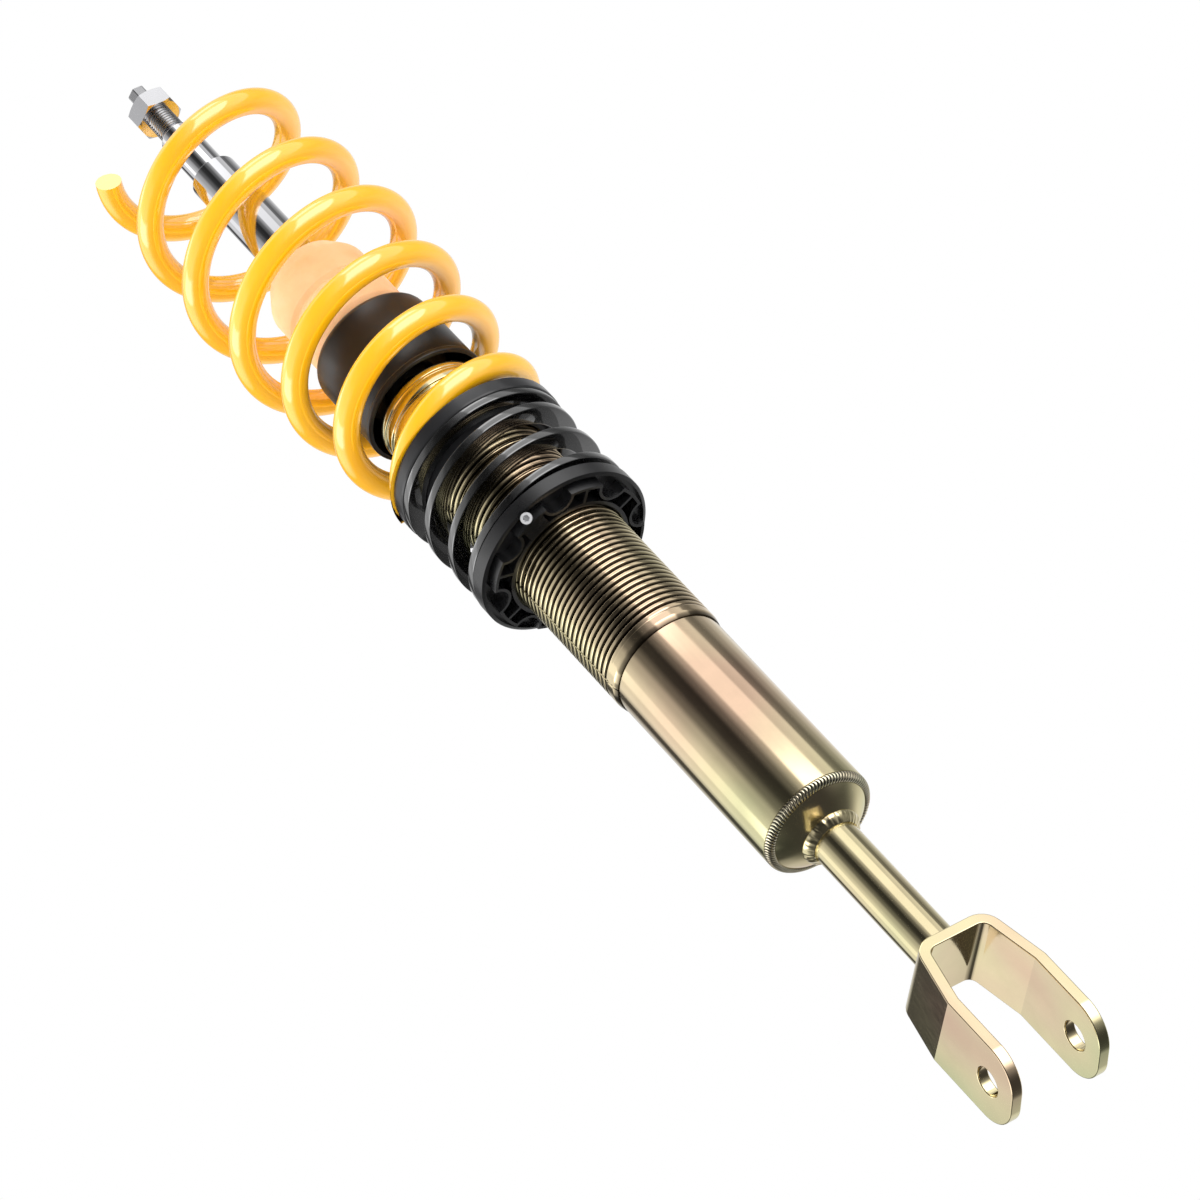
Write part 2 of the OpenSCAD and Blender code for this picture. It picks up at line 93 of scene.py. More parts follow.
def grid_object(name, rows, closed_rows=True, closed_columns=False, gaps=None):
    """A skin over rows of points. Rows and columns may each run round.

    gaps gives each point a value from 0 to 1, which the weld's material reads.
    """
    bm = bmesh.new()
    layer = bm.verts.layers.float.new("gap") if gaps else None
    verts = [[bm.verts.new(point) for point in row] for row in rows]
    if gaps:
        for row, values in zip(verts, gaps):
            for vert, value in zip(row, values):
                vert[layer] = value
    row_count = len(rows) if closed_rows else len(rows) - 1
    for i in range(row_count):
        lower = verts[i]
        upper = verts[(i + 1) % len(rows)]
        column_count = len(lower) if closed_columns else len(lower) - 1
        for j in range(column_count):
            k = (j + 1) % len(lower)
            bm.faces.new((lower[j], lower[k], upper[k], upper[j]))
    bmesh.ops.remove_doubles(bm, verts=bm.verts, dist=1e-6)
    bmesh.ops.dissolve_degenerate(bm, edges=bm.edges, dist=1e-7)
    bmesh.ops.recalc_face_normals(bm, faces=bm.faces)
    for face in bm.faces:
        face.smooth = True
    mesh = bpy.data.meshes.new(name)
    bm.to_mesh(mesh)
    bm.free()
    return add_object(name, mesh)


def turned(name, profile, segments=192):
    """A turned piece from a closed outline of (radius, height) points."""
    rows = []
    for i in range(segments):
        a = 2 * math.pi * i / segments
        rows.append([(r * math.cos(a), r * math.sin(a), z) for r, z in profile])
    return grid_object(name, rows, closed_columns=True)


def shade_by_angle(mesh, degrees=34):
    """Smooth faces, with every edge sharper than the angle kept crisp."""
    bm = bmesh.new()
    bm.from_mesh(mesh)
    for face in bm.faces:
        face.smooth = True
    for edge in bm.edges:
        if len(edge.link_faces) == 2:
            edge.smooth = edge.calc_face_angle(0) < math.radians(degrees)
    bm.to_mesh(mesh)
    bm.free()


def eased(node, width, body, segments=2, angle=34, crease=None):
    """A CAD node again, with its sharp edges eased so that they catch the light.

    The shallow bends that lie between the two heights of the crease stay crisp.
    """
    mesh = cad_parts[node].data.copy()
    mesh.name = node + "_eased"
    bm = bmesh.new()
    bm.from_mesh(mesh)
    bmesh.ops.remove_doubles(bm, verts=bm.verts, dist=2e-6)
    bmesh.ops.dissolve_limit(bm, angle_limit=math.radians(0.6), verts=bm.verts, edges=bm.edges)
    bm.to_mesh(mesh)
    bm.free()
    shade_by_angle(mesh, angle)
    if crease:
        for edge in mesh.edges:
            if all(crease[0] < mesh.vertices[v].co.z < crease[1] for v in edge.vertices):
                edge.use_edge_sharp = True
    piece = add_object(node + "_eased", mesh)
    bevel = piece.modifiers.new("eased_edges", "BEVEL")
    bevel.width = width
    bevel.segments = segments
    bevel.limit_method = "ANGLE"
    bevel.angle_limit = math.radians(angle)
    bevel.harden_normals = True
    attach(piece, body)
    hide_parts(node)
    return piece


def smooth_step(x):
    x = min(1.0, max(0.0, x))
    return x * x * (3 - 2 * x)


def helical_thread(name, crest, depth, pitch, low, high, run_out, ridge, land, lead, segments):
    """A tube whose outside is a right-handed thread. ridge lists (share of a pitch, share of depth).

    Below the thread it is plain over a land, whose lower end tapers in by the lead.
    """
    count = int((high - low) / pitch) + 2
    rows = []
    for i in range(segments):
        turn = i / segments
        row = []
        for k in range(-1, count):
            for share, cut in ridge:
                z = min(high, max(low, low + (k + share + turn) * pitch))
                fade = smooth_step((z - low - land) / run_out) * smooth_step((high - z) / run_out)
                taper = lead * max(0, 1 - (z - low) / (4 * lead)) if lead else 0
                r = crest - taper - depth * cut * fade
                row.append((r * math.cos(2 * math.pi * turn), r * math.sin(2 * math.pi * turn), z))
        rows.append(row)
    # The last column of points meets the first one a pitch further up.
    bm = bmesh.new()
    verts = [[bm.verts.new(p) for p in row] for row in rows]
    for i in range(segments):
        lower = verts[i]
        upper = verts[(i + 1) % segments]
        step = len(ridge) if i == segments - 1 else 0
        for j in range(len(lower) - 1 - step):
            bm.faces.new((lower[j + step], upper[j], upper[j + 1], lower[j + 1 + step]))
    bmesh.ops.remove_doubles(bm, verts=bm.verts, dist=2e-6)
    bmesh.ops.dissolve_degenerate(bm, edges=bm.edges, dist=1e-7)
    bmesh.ops.recalc_face_normals(bm, faces=bm.faces)
    for face in bm.faces:
        face.smooth = True
    mesh = bpy.data.meshes.new(name)
    bm.to_mesh(mesh)
    bm.free()
    return add_object(name, mesh)


# ---------------------------------------------------------------- node trees


def add_node(tree, kind, **settings):
    node = tree.nodes.new(kind)
    for key, value in settings.items():
        setattr(node, key, value)
    return node


def feed(tree, socket, value):
    """A number, a colour or another node's socket goes into a socket."""
    if isinstance(value, tuple):
        socket.default_value = (*value, 1.0)
    elif isinstance(value, (int, float)):
        socket.default_value = value
    else:
        tree.links.new(value, socket)


def add_ramp(tree, factor, stops):
    """stops: (position, colour or grey level) pairs."""
    node = add_node(tree, "ShaderNodeValToRGB")
    elements = node.color_ramp.elements
    while len(elements) < len(stops):
        elements.new(0.5)
    for element, (position, colour) in zip(elements, stops):
        if isinstance(colour, (int, float)):
            colour = (colour, colour, colour)
        element.position = position
        element.color = (*colour, 1.0)
    tree.links.new(factor, node.inputs["Fac"])
    return node


# ---------------------------------------------------------------- materials


class Nodes:
    """A material's node tree, with short calls for the nodes that the materials share."""

    def __init__(self, name):
        self.material = bpy.data.materials.new(name)
        self.material.use_nodes = True
        self.tree = self.material.node_tree
        self.shader = self.tree.nodes["Principled BSDF"]
        self.place = self.add("ShaderNodeTexCoord").outputs["Object"]

    def add(self, kind, **settings):
        return add_node(self.tree, kind, **settings)

    def link(self, source, target):
        self.tree.links.new(source, target)

    def set(self, **values):
        for key, value in values.items():
            self.shader.inputs[key.replace("_", " ")].default_value = value

    def scaled(self, x, y, z):
        """Object coordinates stretched along each axis."""
        mapping = self.add("ShaderNodeMapping")
        mapping.inputs["Scale"].default_value = (x, y, z)
        self.link(self.place, mapping.inputs["Vector"])
        return mapping.outputs["Vector"]

    def noise(self, scale, detail=4.0, roughness=0.5, place=None):
        node = self.add("ShaderNodeTexNoise")
        node.inputs["Scale"].default_value = scale
        node.inputs["Detail"].default_value = detail
        node.inputs["Roughness"].default_value = roughness
        self.link(place or self.place, node.inputs["Vector"])
        return node.outputs["Fac"]

    def cells(self, scale):
        node = self.add("ShaderNodeTexVoronoi")
        node.inputs["Scale"].default_value = scale
        self.link(self.place, node.inputs["Vector"])
        return node.outputs["Distance"]

    def ramp(self, factor, stops):
        return add_ramp(self.tree, factor, stops).outputs["Color"]

    def math(self, operation, a, b):
        node = self.add("ShaderNodeMath", operation=operation)
        feed(self.tree, node.inputs[0], a)
        feed(self.tree, node.inputs[1], b)
        return node.outputs["Value"]

    def multiply(self, a, b):
        """Two colours multiplied."""
        node = self.add("ShaderNodeMix", data_type="RGBA", blend_type="MULTIPLY")
        node.inputs[0].default_value = 1.0
        feed(self.tree, node.inputs[6], a)
        feed(self.tree, node.inputs[7], b)
        return node.outputs[2]

    def share(self, value, low, high):
        """0 at the low value, 1 at the high one."""
        node = self.add("ShaderNodeMapRange")
        node.inputs["From Min"].default_value = low
        node.inputs["From Max"].default_value = high
        self.link(value, node.inputs["Value"])
        return node.outputs["Result"]

    def colour(self, source):
        self.link(source, self.shader.inputs["Base Color"])

    def roughness(self, source):
        self.link(source, self.shader.inputs["Roughness"])

    def bump(self, *layers):
        """layers: (height, strength, distance in metres)."""
        normal = None
        for height, strength, distance in layers:
            node = self.add("ShaderNodeBump")
            node.inputs["Strength"].default_value = strength
            node.inputs["Distance"].default_value = distance
            self.link(height, node.inputs["Height"])
            if normal is not None:
                self.link(normal, node.inputs["Normal"])
            normal = node.outputs["Normal"]
        self.link(normal, self.shader.inputs["Normal"])


def zinc_material(name, rough=(0.07, 0.15), grain=0.05, groove=None):
    """Yellow zinc plating: a pale gold metal with slow green and pink tints and fine draw marks.

    groove is a root and a crest radius: the plating is darkened towards the root as painted shade.
    """
    n = Nodes(name)
    n.set(Metallic=1.0)
    tint = n.ramp(
        n.noise(15.0, 2.0, 0.5, n.scaled(1.0, 1.0, 0.5)),
        [
            (0.32, (0.88, 0.62, 0.44)),
            (0.43, (0.92, 0.75, 0.49)),
            (0.52, (0.90, 0.80, 0.48)),
            (0.62, (0.74, 0.76, 0.43)),
        ],
    )
    blotch = n.ramp(n.noise(60.0, 3.0), [(0.35, 0.93), (0.70, 1.0)])
    plating = n.multiply(tint, blotch)
    if groove:
        flat = n.add("ShaderNodeVectorMath", operation="MULTIPLY")
        flat.inputs[1].default_value = (1, 1, 0)
        n.link(n.place, flat.inputs[0])
        radius = n.add("ShaderNodeVectorMath", operation="LENGTH")
        n.link(flat.outputs["Vector"], radius.inputs[0])
        height = n.share(radius.outputs["Value"], *groove)
        # Painted shade: the plating darkens from the crest down to almost black at the thread's root.
        painted_root_shade = n.ramp(height, [(0.0, 0.03), (0.55, 0.10), (0.85, 0.45), (1.0, 1.0)])
        plating = n.multiply(plating, painted_root_shade)
    n.colour(plating)
    streak = n.noise(700.0, 3.0, 0.6, n.scaled(1.0, 1.0, 0.04))
    cloud = n.noise(25.0, 3.0)
    n.roughness(n.ramp(n.math("MULTIPLY", n.math("ADD", streak, cloud), 0.5),
                       [(0.35, rough[0]), (0.65, rough[1])]))
    n.bump((streak, grain, 0.00004), (n.noise(1800.0, 2.0), 0.10, 0.00002))
    return n.material


def weld_material():
    """Bright weld metal, darkened almost to black in the gaps between the ripples as painted shade."""
    n = Nodes("weld_bead")
    n.set(Metallic=1.0)
    heat = n.ramp(
        n.noise(120.0, 3.0),
        [(0.30, (0.90, 0.78, 0.55)), (0.50, (1.00, 0.92, 0.68)), (0.70, (0.92, 0.90, 0.64))],
    )
    gap = n.add("ShaderNodeAttribute", attribute_name="gap").outputs["Fac"]
    # Painted shade: the gaps between the ripples, which the gap value marks, go almost black.
    painted_gap_shade = n.ramp(gap, [(0.0, 1.0), (0.10, 0.90), (0.32, 0.15), (0.60, 0.02)])
    n.colour(n.multiply(heat, painted_gap_shade))
    n.roughness(n.ramp(n.noise(400.0, 3.0), [(0.3, 0.12), (0.7, 0.26)]))
    n.bump((n.noise(900.0, 4.0), 0.35, 0.00008), (n.noise(260.0, 2.0), 0.25, 0.0002))
    return n.material


def polished_metal(name, colour, rough, scratch=0.05, stretch=(1.0, 1.0, 12.0), metallic=1.0):
    """Bare or plated metal with fine scratches, which stretch draws out along an axis."""
    n = Nodes(name)
    n.set(Metallic=metallic)
    dull = tuple(0.9 * c for c in colour)
    n.colour(n.ramp(n.noise(30.0, 3.0), [(0.3, dull), (0.7, colour)]))
    lines = n.noise(900.0, 3.0, 0.6, n.scaled(*stretch))
    n.roughness(n.ramp(lines, [(0.3, rough), (0.75, rough * 1.8)]))
    n.bump((lines, scratch, 0.00002))
    return n.material


def powder_coat(name, colour, deep, rough=0.3, coat=1.0, coat_rough=0.03, coat_ior=2.4):
    """Powder coat: orange peel under a clear gloss, a little deeper in colour here and there."""
    n = Nodes(name)
    n.set(Coat_Weight=coat, Coat_Roughness=coat_rough, Coat_IOR=coat_ior, Specular_IOR_Level=0.3)
    n.colour(n.ramp(n.noise(18.0, 3.0), [(0.30, deep), (0.62, colour)]))
    peel = n.noise(300.0, 2.0, 0.4)
    n.roughness(n.ramp(n.noise(90.0, 3.0), [(0.3, rough), (0.7, rough * 1.5)]))
    n.bump((peel, 0.06, 0.00010), (n.noise(2200.0, 2.0), 0.03, 0.00002))
    return n.material


def moulded_plastic(name, colour, rough, grain=1600.0, relief=0.25, shine=0.5):
    """Black composite or rubber with a fine spark-eroded grain and faint flow marks."""
    n = Nodes(name)
    n.set(Specular_IOR_Level=shine)
    lighter = tuple(1.5 * c + 0.001 for c in colour)
    flow = n.noise(35.0, 4.0, 0.6)
    n.colour(n.ramp(flow, [(0.32, colour), (0.72, lighter)]))
    n.roughness(n.ramp(flow, [(0.3, rough * 0.85), (0.7, min(1.0, rough * 1.15))]))
    n.bump((n.cells(grain), relief, 0.00006), (n.noise(120.0, 3.0), 0.12, 0.0001))
    return n.material


BOOT_SHOULDER_Z = 461 * MM


def foam_material():
    """Microcellular polyurethane: a warm peach skin with fine pores, darkened inside the boot by a painted
    shadow.
    """
    n = Nodes("bump_foam")
    n.set(Roughness=0.55, Subsurface_Weight=0.18, Subsurface_Scale=0.004, Specular_IOR_Level=0.35)
    skin = n.ramp(
        n.noise(45.0, 4.0),
        [(0.30, (0.86, 0.50, 0.24)), (0.55, (0.94, 0.60, 0.33)), (0.75, (0.98, 0.70, 0.44))],
    )
    pores = n.ramp(n.cells(1500.0), [(0.05, 0.86), (0.28, 1.0)])
    parts = n.add("ShaderNodeSeparateXYZ")
    n.link(n.place, parts.inputs[0])
    # Painted shadow: below the boot's shoulder the foam darkens to almost black, where the boot shades it.
    height = n.share(parts.outputs["Z"], BOOT_SHOULDER_Z - 9 * MM, BOOT_SHOULDER_Z)
    painted_boot_shadow = n.ramp(height, [(0.0, 0.02), (1.0, 1.0)])
    n.colour(n.multiply(n.multiply(skin, pores), painted_boot_shadow))
    n.bump((n.cells(1500.0), 0.35, 0.0002), (n.noise(180.0, 4.0), 0.3, 0.0004))
    return n.material


ZINC = zinc_material("zinc_plating")
ZINC_THREAD = zinc_material("zinc_plating_thread", (0.08, 0.14), 0.02,
                            (THREAD_R - THREAD_DEPTH, THREAD_R - 0.08 * MM))
WELD = weld_material()
CHROME = polished_metal("hard_chrome", (0.72, 0.72, 0.74), 0.03, 0.02)
BRIGHT_NUT = polished_metal("bright_plating", (0.72, 0.72, 0.74), 0.10, 0.06)
STEEL = polished_metal("ground_steel", (0.42, 0.42, 0.43), 0.20, 0.12, (1.0, 1.0, 6.0))
ALLOY = polished_metal("turned_alloy", (0.74, 0.75, 0.77), 0.24, 0.15, (1.0, 1.0, 9.0))
BRONZE = polished_metal("bush_bronze", (0.50, 0.34, 0.18), 0.3, 0.1)
YELLOW = powder_coat("yellow_powder_coat", (1.0, 0.52, 0.002), (0.98, 0.47, 0.002))
GLOSS_BLACK = powder_coat("gloss_black_coat", (0.002, 0.002, 0.0022), (0.001, 0.001, 0.001), 0.2)
SATIN_BLACK = powder_coat("satin_black_coat", (0.016, 0.016, 0.018), (0.009, 0.009, 0.010),
                          coat=0.4, coat_rough=0.15, coat_ior=1.8)
COLLAR_PLASTIC = moulded_plastic("collar_composite", (0.004, 0.004, 0.0045), 0.28, shine=0.9)
RUBBER = moulded_plastic("boot_rubber", (0.006, 0.005, 0.005), 0.34, 2200.0, 0.2, 0.7)
SEAL_RUBBER = moulded_plastic("seal_rubber", (0.010, 0.010, 0.010), 0.4, 2600.0, 0.1)
PTFE = moulded_plastic("band_ptfe", (0.05, 0.045, 0.04), 0.35, 2000.0, 0.1)
SCREW = polished_metal("screw_zinc", (0.60, 0.60, 0.62), 0.40, metallic=0.35)
FOAM = foam_material()


def paint(piece, material):
    """One material over the whole piece."""
    piece.data.materials.clear()
    piece.data.materials.append(material)
    return piece


# ---------------------------------------------------------------- shapes shared by the pieces


def rounded(outline, steps=4):
    """Points along a closed outline of (radius, height, corner radius) in millimetres, in metres."""
    points = []
    for i, (r, z, fillet) in enumerate(outline):
        here = Vector((r, z))
        before = Vector(outline[i - 1][:2]) - here
        after = Vector(outline[(i + 1) % len(outline)][:2]) - here
        angle = before.angle(after, math.pi)
        if fillet <= 0 or angle > math.radians(176):
            points.append((r * MM, z * MM))
            continue
        reach = min(fillet / math.tan(angle / 2), 0.49 * before.length, 0.49 * after.length)
        radius = reach * math.tan(angle / 2)
        first = before.normalized()
        last = after.normalized()
        centre = here + (first + last).normalized() * (radius / math.sin(angle / 2))
        start = here + first * reach - centre
        end = here + last * reach - centre
        sweep = start.angle(end)
        for k in range(steps + 1):
            share = k / steps
            arm = (start * math.sin((1 - share) * sweep) + end * math.sin(share * sweep)) / math.sin(sweep)
            point = centre + arm
            points.append((point.x * MM, point.y * MM))
    return points


def turned_piece(name, outline, body, material, nodes=(), segments=192, steps=4):
    piece = turned(name, rounded(outline, steps), segments)
    shade_by_angle(piece.data, 40)
    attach(piece, body)
    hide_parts(*nodes)
    return paint(piece, material)


def ripple(phase):
    """Height of one round weld ripple, from 0 in its narrow valley to 1 on its crest."""
    share = phase - math.floor(phase)
    return math.sqrt(max(0, 1 - (2 * share - 1) ** 2))


def weld_ring(name, node, section, columns, ripples=0, relief=0.0, bow=0.0, wander=0.0, material=WELD):
    """A welded bead round the strut: a section of (radius, height) points with stacked ripples.

    The ripples and the wander, in millimetres, stand off the section's outer side.
    """
    rows = []
    gaps = []
    lowest = min(z for r, z in section)
    tall = max(z for r, z in section) - lowest
    for i in range(columns):
        turn = i / columns
        a = 2 * math.pi * turn
        row = []
        gap_row = []
        for k, (r, z) in enumerate(section):
            before = section[max(0, k - 1)]
            after = section[min(len(section) - 1, k + 1)]
            off = Vector((after[1] - before[1], before[0] - after[0])).normalized()
            across = 2 * (z - lowest) / tall - 1
            edge = math.sin(math.pi * k / (len(section) - 1))
            height = ripple(turn * ripples - bow * (1 - across * across))
            gap_row.append(1 - height if relief else 0.0)
            soft = noise.noise(Vector((9 * math.cos(a), 9 * math.sin(a), z / MM * 0.3)))
            swell = edge * MM * (relief * (height - 0.6) + wander * soft)
            reach = r + swell * off.x
            row.append((reach * math.cos(a), reach * math.sin(a), z + swell * off.y))
        rows.append(row)
        gaps.append(gap_row)
    piece = grid_object(name, rows, closed_columns=True, gaps=gaps)
    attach(piece, "strut")
    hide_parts(node)
    return paint(piece, material)


# ---------------------------------------------------------------- strut

paint(eased("fork", 0.55 * MM, "strut", 3, crease=(24 * MM, 34 * MM)), ZINC)

turned_piece("stem_bar", [(0, 57, 0), (10, 57, 0), (10, 144, 0.8), (0, 144, 0)],
             "strut", ZINC, ["stem"], 160)

CONE_SLOPE = 0.827


def on_cone(r):
    """Height of the end cap's cone at a radius."""
    return 142 - CONE_SLOPE * (25 - r)


turned_piece(
    "end_cap",
    [(10, on_cone(12.4), 0), (12.4, on_cone(12.4), 0), (24.6, on_cone(24.6), 0), (24.6, 142, 0),
     (19.95, 142, 0), (19.95, 151.5, 0.8), (0, 151.5, 0), (0, 144, 0), (10, 144, 0)],
    "strut", ZINC, ["end_plug"], 256,
)

turned_piece(
    "body_tube_skin",
    [(20, 142, 0), (25, 142, 0.2), (25, 241.7, 0.08), (23, 241.7, 0), (23, 405, 0.5), (20, 405, 0.5)],
    "strut", ZINC, ["body_tube"], 256,
)


def corner_bead_section():
    """The bead along the outer edge of the cap's cone, from its lower toe up to the tube."""
    count = 18
    points = []
    for k in range(count + 1):
        share = k / count
        crown = 1.05 * math.sin(math.pi * share) ** 0.6
        r = 21.5 + 3.4 * share + 0.64 * crown
        z = 139.05 + 2.9 * share - 0.77 * crown
        points.append((r * MM, z * MM))
    return points


weld_ring("body_bead", "body_weld", corner_bead_section(), 3000,
          ripples=100, relief=0.62, bow=0.75, wander=0.05)


def stem_bead_section():
    """The bead under the end cap: it stands steeply off the stem and ends sharply on the cone."""
    outline = [(9.9, 128.2), (10.6, 128.6), (11.5, 129.3), (12.3, 130.0), (12.9, 130.8), (13.25, 131.5),
               (13.4, 132.2), (13.4, 132.7)]
    return [(r * MM, z * MM) for r, z in outline]


weld_ring("stem_bead", "stem_weld", stem_bead_section(), 720, wander=0.35, material=ZINC)


def fork_bead():
    """The bead between the stem and the tilted web: ripples that follow the web's upper face."""
    tilt = math.radians(7)
    web_top = 59.3 * MM
    columns = 720
    steps = 8
    rows = []
    for i in range(columns):
        turn = i / columns
        a = 2 * math.pi * turn
        top = web_top - STEM_R * math.sin(a) * math.tan(tilt)
        row = []
        for k in range(steps + 1):
            b = 0.5 * math.pi * k / steps
            soft = noise.noise(Vector((3 * math.cos(a), 3 * math.sin(a), 4 + 0.2 * k)))
            size = MM * (2.3 + 0.16 * ripple(turn * 30) * math.sin(2 * b) + 0.5 * soft)
            r = STEM_R - 0.1 * MM + size * math.cos(b)
            drop = (r - STEM_R) * math.sin(a) * math.tan(tilt)
            row.append((r * math.cos(a), r * math.sin(a), top - drop + 0.9 * size * math.sin(b)))
        rows.append(row)
    piece = grid_object("fork_bead", rows, closed_columns=True)
    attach(piece, "strut")
    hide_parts("fork_weld")
    return paint(piece, WELD)


fork_bead()


def thread_tube(name, crest, depth, pitch, low, high, bore, ridge, run_out, segments, land=0.0, lead=0.0):
    """A threaded tube: the thread outside, a plain bore inside, and flat ends."""
    piece = helical_thread(name, crest, depth, pitch, low, high, run_out, ridge, land, lead, segments)
    bm = bmesh.new()
    bm.from_mesh(piece.data)
    rims = []
    for z in (low, high):
        rim = [e for e in bm.edges if len(e.link_faces) == 1
               and abs(e.verts[0].co.z - z) < 1e-6 and abs(e.verts[1].co.z - z) < 1e-6]
        made = bmesh.ops.extrude_edge_only(bm, edges=rim)["geom"]
        for vert in [v for v in made if isinstance(v, bmesh.types.BMVert)]:
            share = bore / math.hypot(vert.co.x, vert.co.y)
            vert.co.x *= share
            vert.co.y *= share
        rims += [e for e in made if isinstance(e, bmesh.types.BMEdge) and len(e.link_faces) == 1]
    bmesh.ops.bridge_loops(bm, edges=rims)
    bmesh.ops.recalc_face_normals(bm, faces=bm.faces)
    bm.to_mesh(piece.data)
    bm.free()
    shade_by_angle(piece.data, 62)
    return piece


# The threads' outlines, from crest to crest, as shares of the pitch and of the depth.
ROLLED = [(0.00, 0.03), (0.04, 0.01), (0.10, 0.0), (0.30, 0.0), (0.36, 0.01), (0.40, 0.03), (0.45, 0.10),
          (0.58, 0.60), (0.66, 0.94), (0.70, 1.0), (0.74, 0.94), (0.82, 0.60), (0.95, 0.10)]

sleeve = thread_tube("threaded_sleeve_skin", THREAD_R, THREAD_DEPTH, THREAD_PITCH,
                     low=0.2417, high=0.395, bore=0.02305, ridge=ROLLED, run_out=0.0025,
                     segments=224, land=0.0054, lead=0.00062)
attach(sleeve, "strut")
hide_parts("threaded_sleeve")
paint(sleeve, ZINC_THREAD)

turned_piece(
    "gland_cap_skin",
    [(23.05, 395.1, 0), (25, 395.1, 0.4), (25, 405.8, 0.5), (24.1, 406.3, 0.25), (24.1, 407.3, 0.25),
     (25, 407.8, 0.5), (25, 411.2, 0.4), (24.3, 411.6, 0.2), (24.3, 412.6, 0.2), (25, 413.1, 0.4),
     (25, 415.8, 0.8), (23.4, 417.4, 0.8), (15, 417.4, 0.5), (15, 410.2, 0), (11.6, 410.2, 0),
     (11.6, 405, 0), (23.05, 405, 0)],
    "strut", ZINC, ["gland_cap"],
)


# ---------------------------------------------------------------- piston rod

turned_piece(
    "rod_bar",
    [(0, 318, 0), (5, 318, 0), (6, 319, 0), (6, 358, 0), (11, 358, 0.4), (11, 587.0, 0.3), (10.1, 587.9, 0.2),
     (8, 587.9, 0.3), (8, 617.4, 0.8), (5.6, 620.6, 0.4), (5.3, 622, 0), (0, 622, 0)],
    "rod", CHROME, ["piston_rod"], 192, 6,
)

FINE = [(0.0, 0.0), (0.12, 0.0), (0.5, 0.9), (0.56, 1.0), (0.62, 0.9)]
stud = thread_tube("rod_stud", STUD_R, 0.8 * MM, STUD_PITCH,
                   low=0.6206, high=STUD_TOP_Z, bore=0.001, ridge=FINE, run_out=0.0008, segments=96)
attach(stud, "rod")
paint(stud, STEEL)


def hex_tip():
    """The hexagonal spanner tip above the stud, with a turned chamfer."""
    bm = bmesh.new()
    corner = 4 / math.cos(math.radians(30)) * MM
    height = 0.0101
    base = bmesh.ops.create_circle(bm, cap_ends=True, radius=corner, segments=6)["verts"]
    bmesh.ops.rotate(bm, verts=base, matrix=Matrix.Rotation(math.radians(30), 3, "Z"))
    made = bmesh.ops.extrude_face_region(bm, geom=list(bm.faces))["geom"]
    top = [v for v in made if isinstance(v, bmesh.types.BMVert)]
    bmesh.ops.translate(bm, verts=top, vec=(0, 0, height))
    bmesh.ops.translate(bm, verts=bm.verts, vec=(0, 0, STUD_TOP_Z))
    bmesh.ops.recalc_face_normals(bm, faces=bm.faces)
    mesh = bpy.data.meshes.new("rod_hex_tip")
    bm.to_mesh(mesh)
    bm.free()
    piece = add_object("rod_hex_tip", mesh)
    rim = piece.modifiers.new("eased_edges", "BEVEL")
    rim.width = 0.45 * MM
    rim.segments = 3
    rim.harden_normals = True
    shade_by_angle(mesh, 30)
    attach(piece, "rod")
    return paint(piece, STEEL)


hex_tip()
paint(eased("top_nut", 0.16 * MM, "rod", 2, 24), BRIGHT_NUT)


# ---------------------------------------------------------------- bump stop and boot

foam = turned_piece(
    "foam_bump_stop",
    [(13.3, 432, 0.5), (20, 432, 3.5), (20, 463.2, 0.4), (22.6, 465.4, 1.5), (23.75, 468, 2.5),
     (23.75, 484.2, 1.1), (22.1, 486.2, 0.7), (23.75, 488.2, 1.1), (23.75, 503, 7), (17.6, 514, 6),
     (12.3, 514, 0.7), (11.3, 513, 0), (11.3, 434, 0)],
    "stop_and_boot", FOAM, ["bump_stop"], 224, 8,
)

turned_piece(
    "rubber_boot",
    [(26.9, 418.5, 0.4), (28.9, 418.5, 0.7), (28.9, 420.6, 0.5), (28.45, 421.4, 0.5), (28.1, 463, 5),
     (20.05, 463, 0.5), (20.05, 461, 0.5), (26.1, 461, 3)],
    "stop_and_boot", RUBBER, ["dust_boot"], 224, 8,
)


# ---------------------------------------------------------------- springs

# The main spring, in millimetres and in half turns up from its seat.
SEAT_Z = 383.4
SEAT_AZ = math.radians(-29.6)
HALF_TURNS = 12.14
HALF_PITCH = 19.2
WIDEST = 6.8
END_R = 35.5
SWELL = 11.3
SAG = 7.5


def main_spring_centre(n):
    """The main spring's wire centre, n half turns up from its seat."""
    share = (n - WIDEST) / (6.5 if n < WIDEST else 7)
    r = END_R + SWELL * max(0, 1.03 - math.sqrt(share * share + 0.002))
    z = SEAT_Z - 4.4 + HALF_PITCH * n - SAG * math.sin(math.radians(15 * (n - 0.8))) ** 2
    a = SEAT_AZ + math.pi * n
    return Vector((r * math.cos(a), r * math.sin(a), z)) * MM


